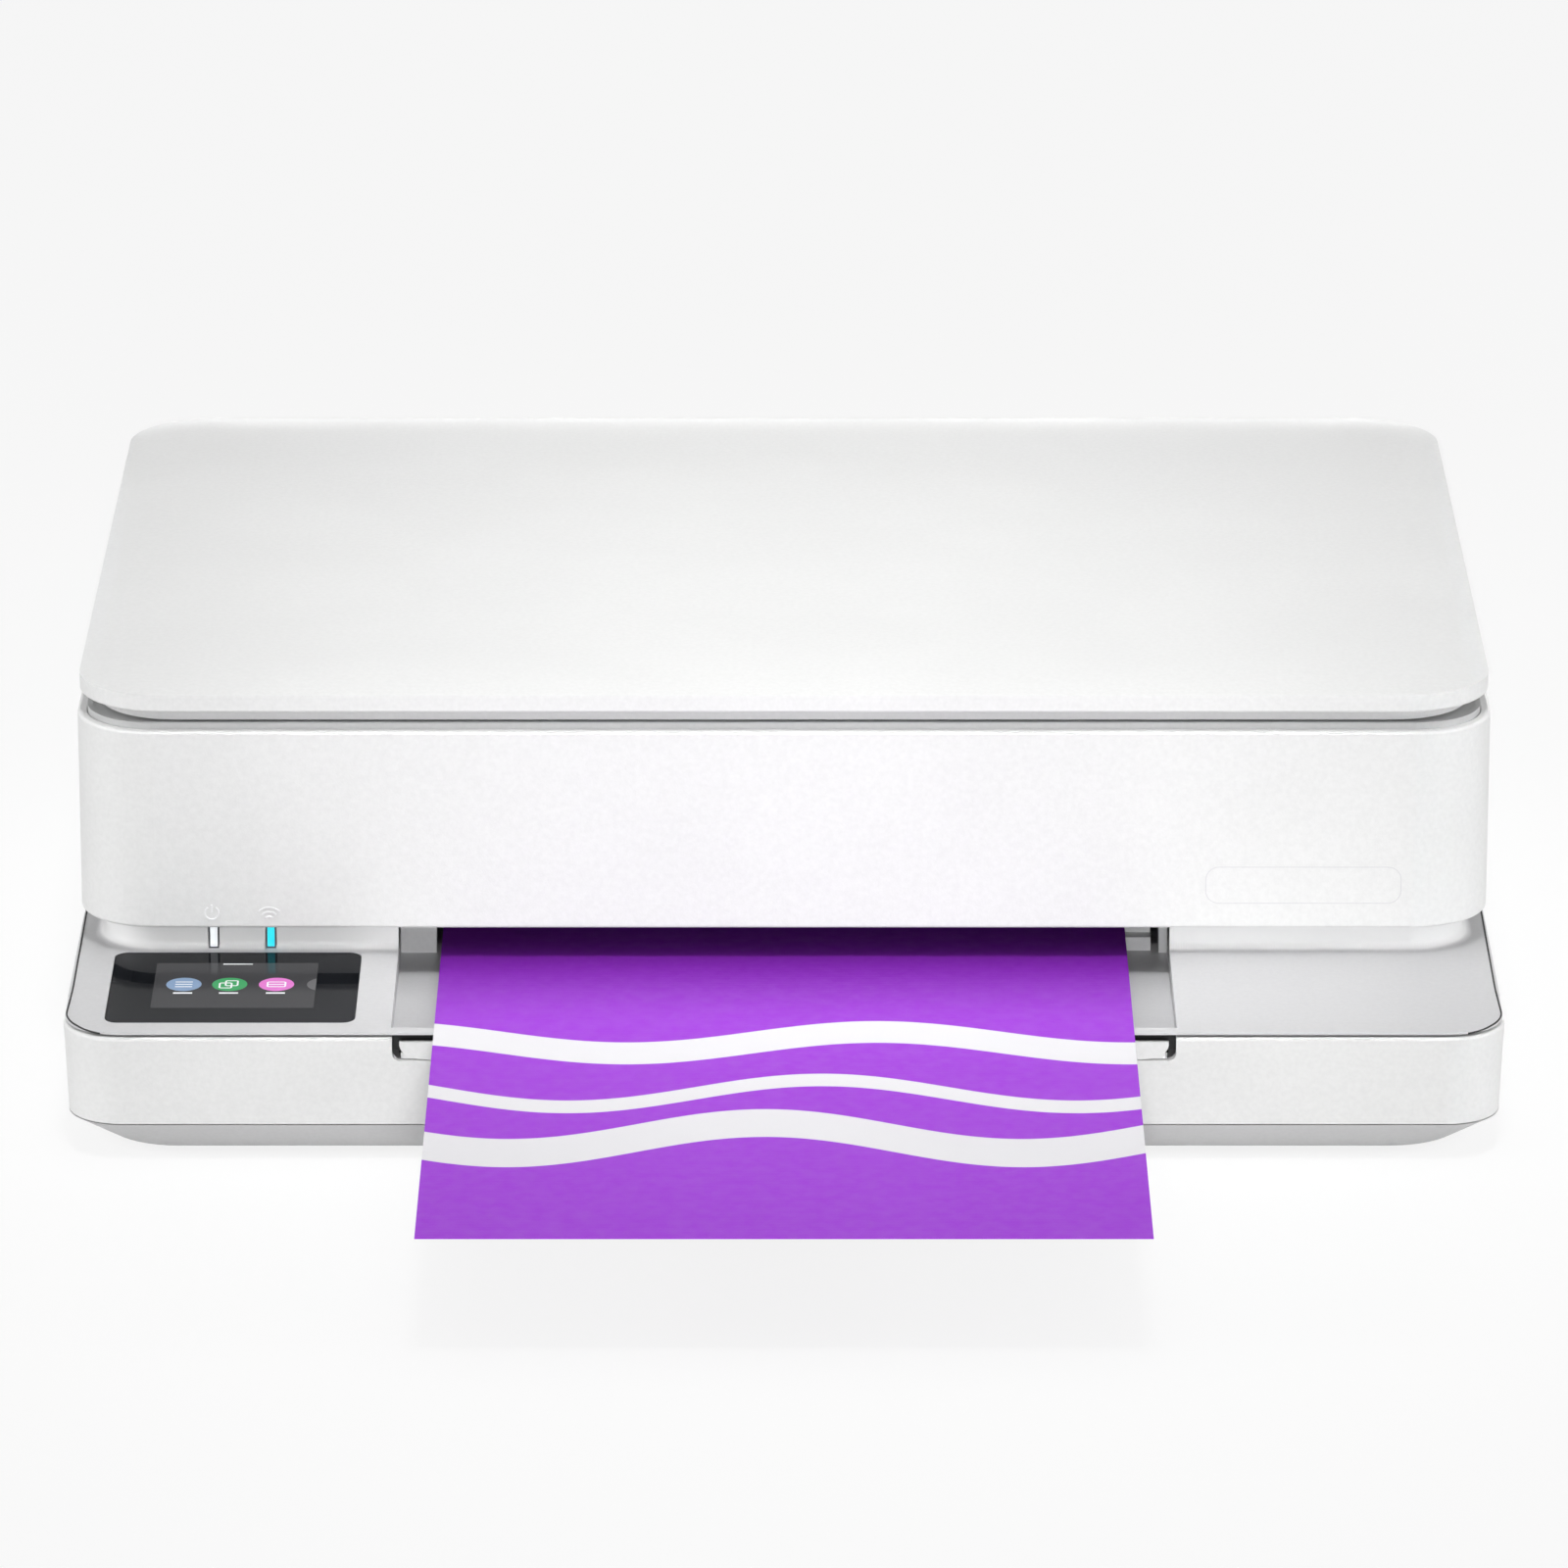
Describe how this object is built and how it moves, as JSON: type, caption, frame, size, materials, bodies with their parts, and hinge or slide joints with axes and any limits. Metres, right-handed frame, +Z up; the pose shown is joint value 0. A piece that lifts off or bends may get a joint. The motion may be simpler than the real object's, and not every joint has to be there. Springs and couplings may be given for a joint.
{
  "type": "inkjet printer",
  "caption": "White all-in-one inkjet printer with flatbed scanner lid, touch panel on the front deck, paper drawer and a printed sheet coming out",
  "frame": {"origin": "on the table plane, under the middle of the lower case's footprint", "axes": "+X to the right seen from the front, +Y to the rear, +Z up"},
  "size_m": [0.4346, 0.5275, 0.1317],
  "materials": {
    "white_shell": "fine spark-eroded grain, semi-matt white",
    "deck_white": "fine spark-eroded grain, cool white",
    "base_grey": "light grey, fine grain",
    "liner_grey": "mid grey, matt",
    "pad_white": "white film over a thin foam sheet",
    "inner_black": "black, lightly textured",
    "inner_grey": "dark grey, lightly textured",
    "bin_grey": "light grey, matt",
    "panel_glass": "dark gloss panel",
    "clear_glass": "clear float glass",
    "light_white": "milky light pipe",
    "light_cyan": "milky light pipe, lit cyan",
    "steel": "zinc-plated sheet steel",
    "shaft_steel": "ground steel",
    "roller_rubber": "matt rubber",
    "foot_rubber": "matt rubber",
    "belt_rubber": "black toothed belt",
    "gear_white": "natural acetal",
    "brass": "turned brass",
    "board_green": "glass-epoxy board with solder mask",
    "ink_black": "black cartridge shell",
    "ink_colour": "dark blue-grey cartridge shell",
    "latch_grey": "mid grey",
    "printed_paper": "coated sheet, violet print on its upper side"
  },
  "bodies": {
    "case": {"base_pan": "base_grey", "left_side_cover": "white_shell", "right_side_cover": "white_shell", "rear_cover": "base_grey", "top_deck": "deck_white", "exit_guide": "deck_white", "touch_panel": "panel_glass", "power_light": "light_white", "wireless_light": "light_cyan", "print_chassis": "inner_black", "carriage_rail": "steel", "carriage_belt": "belt_rubber", "carriage_motor": "steel", "feed_motor": "steel", "star_wheel_bar": "inner_black", "rear_paper_guide": "inner_black", "service_station": "inner_grey", "main_board": "board_green", "power_supply": "inner_grey", "power_inlet": "inner_black", "usb_port": "steel", "rubber_feet": "foot_rubber", "case_screws": "steel", "module_hinge_pins": "shaft_steel"},
    "drawer": {"tray_bin": "bin_grey", "tray_front": "white_shell"},
    "left_guide": {"left_width_guide": "bin_grey"},
    "right_guide": {"right_width_guide": "bin_grey"},
    "end_guide": {"length_guide": "bin_grey"},
    "catcher": {"output_extender": "white_shell"},
    "carriage": {"carriage_body": "inner_black", "black_cartridge": "ink_black", "colour_cartridge": "ink_colour"},
    "black_flap": {"black_latch": "latch_grey"},
    "colour_flap": {"colour_latch": "latch_grey"},
    "drive_pulley": {"motor_pulley": "brass"},
    "free_pulley": {"idler_pulley": "gear_white"},
    "feed_shaft": {"feed_roller": "roller_rubber", "feed_gear": "gear_white"},
    "pinion": {"feed_pinion": "brass"},
    "idler": {"idler_gear": "gear_white"},
    "output_shaft": {"output_roller": "roller_rubber", "output_gear": "gear_white"},
    "pick": {"pick_arm": "inner_grey"},
    "pick_wheel": {"pick_roller": "roller_rubber"},
    "sled": {"service_sled": "inner_grey"},
    "power_key": {"power_button": "bin_grey"},
    "wireless_key": {"wireless_button": "bin_grey"},
    "scanner": {"upper_case": "white_shell", "scanner_frame": "liner_grey", "scanner_glass": "clear_glass", "scanner_tub": "inner_black", "scan_rail": "shaft_steel"},
    "head": {"scan_head": "inner_black"},
    "lid": {"lid_cover": "white_shell", "lid_liner": "liner_grey", "lid_pad": "pad_white"},
    "sheet": {"printed_sheet": "printed_paper"}
  },
  "joints": [
    {"name": "drawer_slide", "type": "slide", "parent": "case", "child": "drawer", "axis": [0, -1, 0], "range_m": [0, 0.24]},
    {"name": "left_guide_slide", "type": "slide", "parent": "drawer", "child": "left_guide", "axis": [1, 0, 0], "range_m": [0, 0.05]},
    {"name": "right_guide_slide", "type": "slide", "parent": "drawer", "child": "right_guide", "axis": [1, 0, 0], "range_m": [-0.05, 0]},
    {"name": "end_guide_slide", "type": "slide", "parent": "drawer", "child": "end_guide", "axis": [0, 1, 0], "range_m": [0, 0.1]},
    {"name": "catcher_slide", "type": "slide", "parent": "drawer", "child": "catcher", "axis": [0, -1, 0], "range_m": [0, 0.08]},
    {"name": "carriage_slide", "type": "slide", "parent": "case", "child": "carriage", "axis": [1, 0, 0], "range_m": [-0.285, 0]},
    {"name": "black_flap_hinge", "type": "hinge", "parent": "carriage", "child": "black_flap", "pos_m": [0.1795, -0.0768, 0.073], "axis": [1, 0, 0], "range_deg": [0, 75]},
    {"name": "colour_flap_hinge", "type": "hinge", "parent": "carriage", "child": "colour_flap", "pos_m": [0.1505, -0.0768, 0.073], "axis": [1, 0, 0], "range_deg": [0, 75]},
    {"name": "drive_pulley_spin", "type": "hinge", "parent": "case", "child": "drive_pulley", "pos_m": [0.188, 0.0022, 0.074], "axis": [0, 1, 0], "continuous": true},
    {"name": "free_pulley_spin", "type": "hinge", "parent": "case", "child": "free_pulley", "pos_m": [-0.188, 0.0022, 0.074], "axis": [0, 1, 0], "continuous": true},
    {"name": "feed_spin", "type": "hinge", "parent": "case", "child": "feed_shaft", "pos_m": [0, 0.008, 0.03931], "axis": [1, 0, 0], "continuous": true},
    {"name": "pinion_spin", "type": "hinge", "parent": "case", "child": "pinion", "pos_m": [-0.1675, 0.0296, 0.03931], "axis": [1, 0, 0], "continuous": true},
    {"name": "idler_spin", "type": "hinge", "parent": "case", "child": "idler", "pos_m": [-0.1675, -0.0292, 0.03969], "axis": [1, 0, 0], "continuous": true},
    {"name": "output_spin", "type": "hinge", "parent": "case", "child": "output_shaft", "pos_m": [0, -0.064, 0.04005], "axis": [1, 0, 0], "continuous": true},
    {"name": "pick_swing", "type": "hinge", "parent": "case", "child": "pick", "pos_m": [0, 0.046, 0.0369], "axis": [1, 0, 0], "range_deg": [0, 12]},
    {"name": "pick_wheel_spin", "type": "hinge", "parent": "pick", "child": "pick_wheel", "pos_m": [0, 0.08613, 0.0245], "axis": [1, 0, 0], "continuous": true},
    {"name": "sled_slide", "type": "slide", "parent": "case", "child": "sled", "axis": [0, -1, 0], "range_m": [0, 0.01]},
    {"name": "power_key_press", "type": "slide", "parent": "case", "child": "power_key", "axis": [0, -1, 0], "range_m": [0, 0.0012], "stiffness_N_per_m": 200},
    {"name": "wireless_key_press", "type": "slide", "parent": "case", "child": "wireless_key", "axis": [0, -1, 0], "range_m": [0, 0.0012], "stiffness_N_per_m": 200},
    {"name": "scanner_hinge", "type": "hinge", "parent": "case", "child": "scanner", "pos_m": [0, 0.1705, 0.05879], "axis": [-1, 0, 0], "range_deg": [0, 35]},
    {"name": "head_slide", "type": "slide", "parent": "scanner", "child": "head", "axis": [1, 0, 0], "range_m": [0, 0.3]},
    {"name": "lid_hinge", "type": "hinge", "parent": "scanner", "child": "lid", "pos_m": [0, 0.175, 0.12329], "axis": [-1, 0, 0], "range_deg": [0, 85]},
    {"name": "sheet_slide", "type": "slide", "parent": "case", "child": "sheet", "axis": [0, -0.9998, -0.0175], "range_m": [0, 0.1]}
  ],
  "couplings": [
    {"joint": "right_guide_slide", "follows": "left_guide_slide", "ratio": -1},
    {"joint": "drive_pulley_spin", "follows": "carriage_slide", "rad_per_m": -147.06},
    {"joint": "free_pulley_spin", "follows": "carriage_slide", "rad_per_m": -147.06},
    {"joint": "pinion_spin", "follows": "feed_spin", "ratio": -2.6},
    {"joint": "idler_spin", "follows": "feed_spin", "ratio": -0.72222},
    {"joint": "output_spin", "follows": "feed_spin", "ratio": 1.1818}
  ]
}
